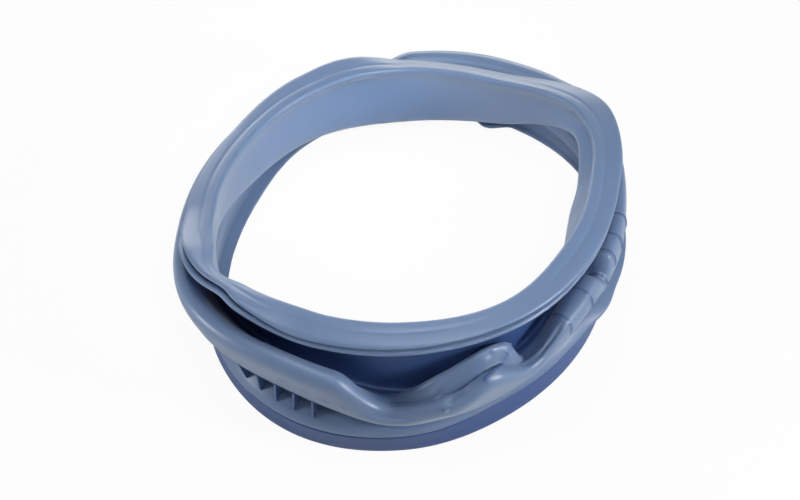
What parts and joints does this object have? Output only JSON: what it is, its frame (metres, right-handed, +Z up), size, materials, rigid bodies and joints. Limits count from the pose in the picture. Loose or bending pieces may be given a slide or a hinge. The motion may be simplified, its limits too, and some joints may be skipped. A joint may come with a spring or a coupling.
{
  "type": "washing machine door seal",
  "caption": "Round rubber bellows with a gripping front lip, a rolled fold and a clamp band, which seals a front loading drum to its door.",
  "frame": {"origin": "middle of the box round the seal, on the floor under the clamp band", "axes": "+Z up from the clamp band to the lip that faces the door, +Y away from the viewer of the picture, +X to the right"},
  "size_m": [0.3972, 0.403, 0.1391],
  "materials": {
    "rubber": "semi-matt blue grey EPDM rubber"
  },
  "bodies": {
    "root": {"door_seal": "rubber"}
  },
  "joints": []
}
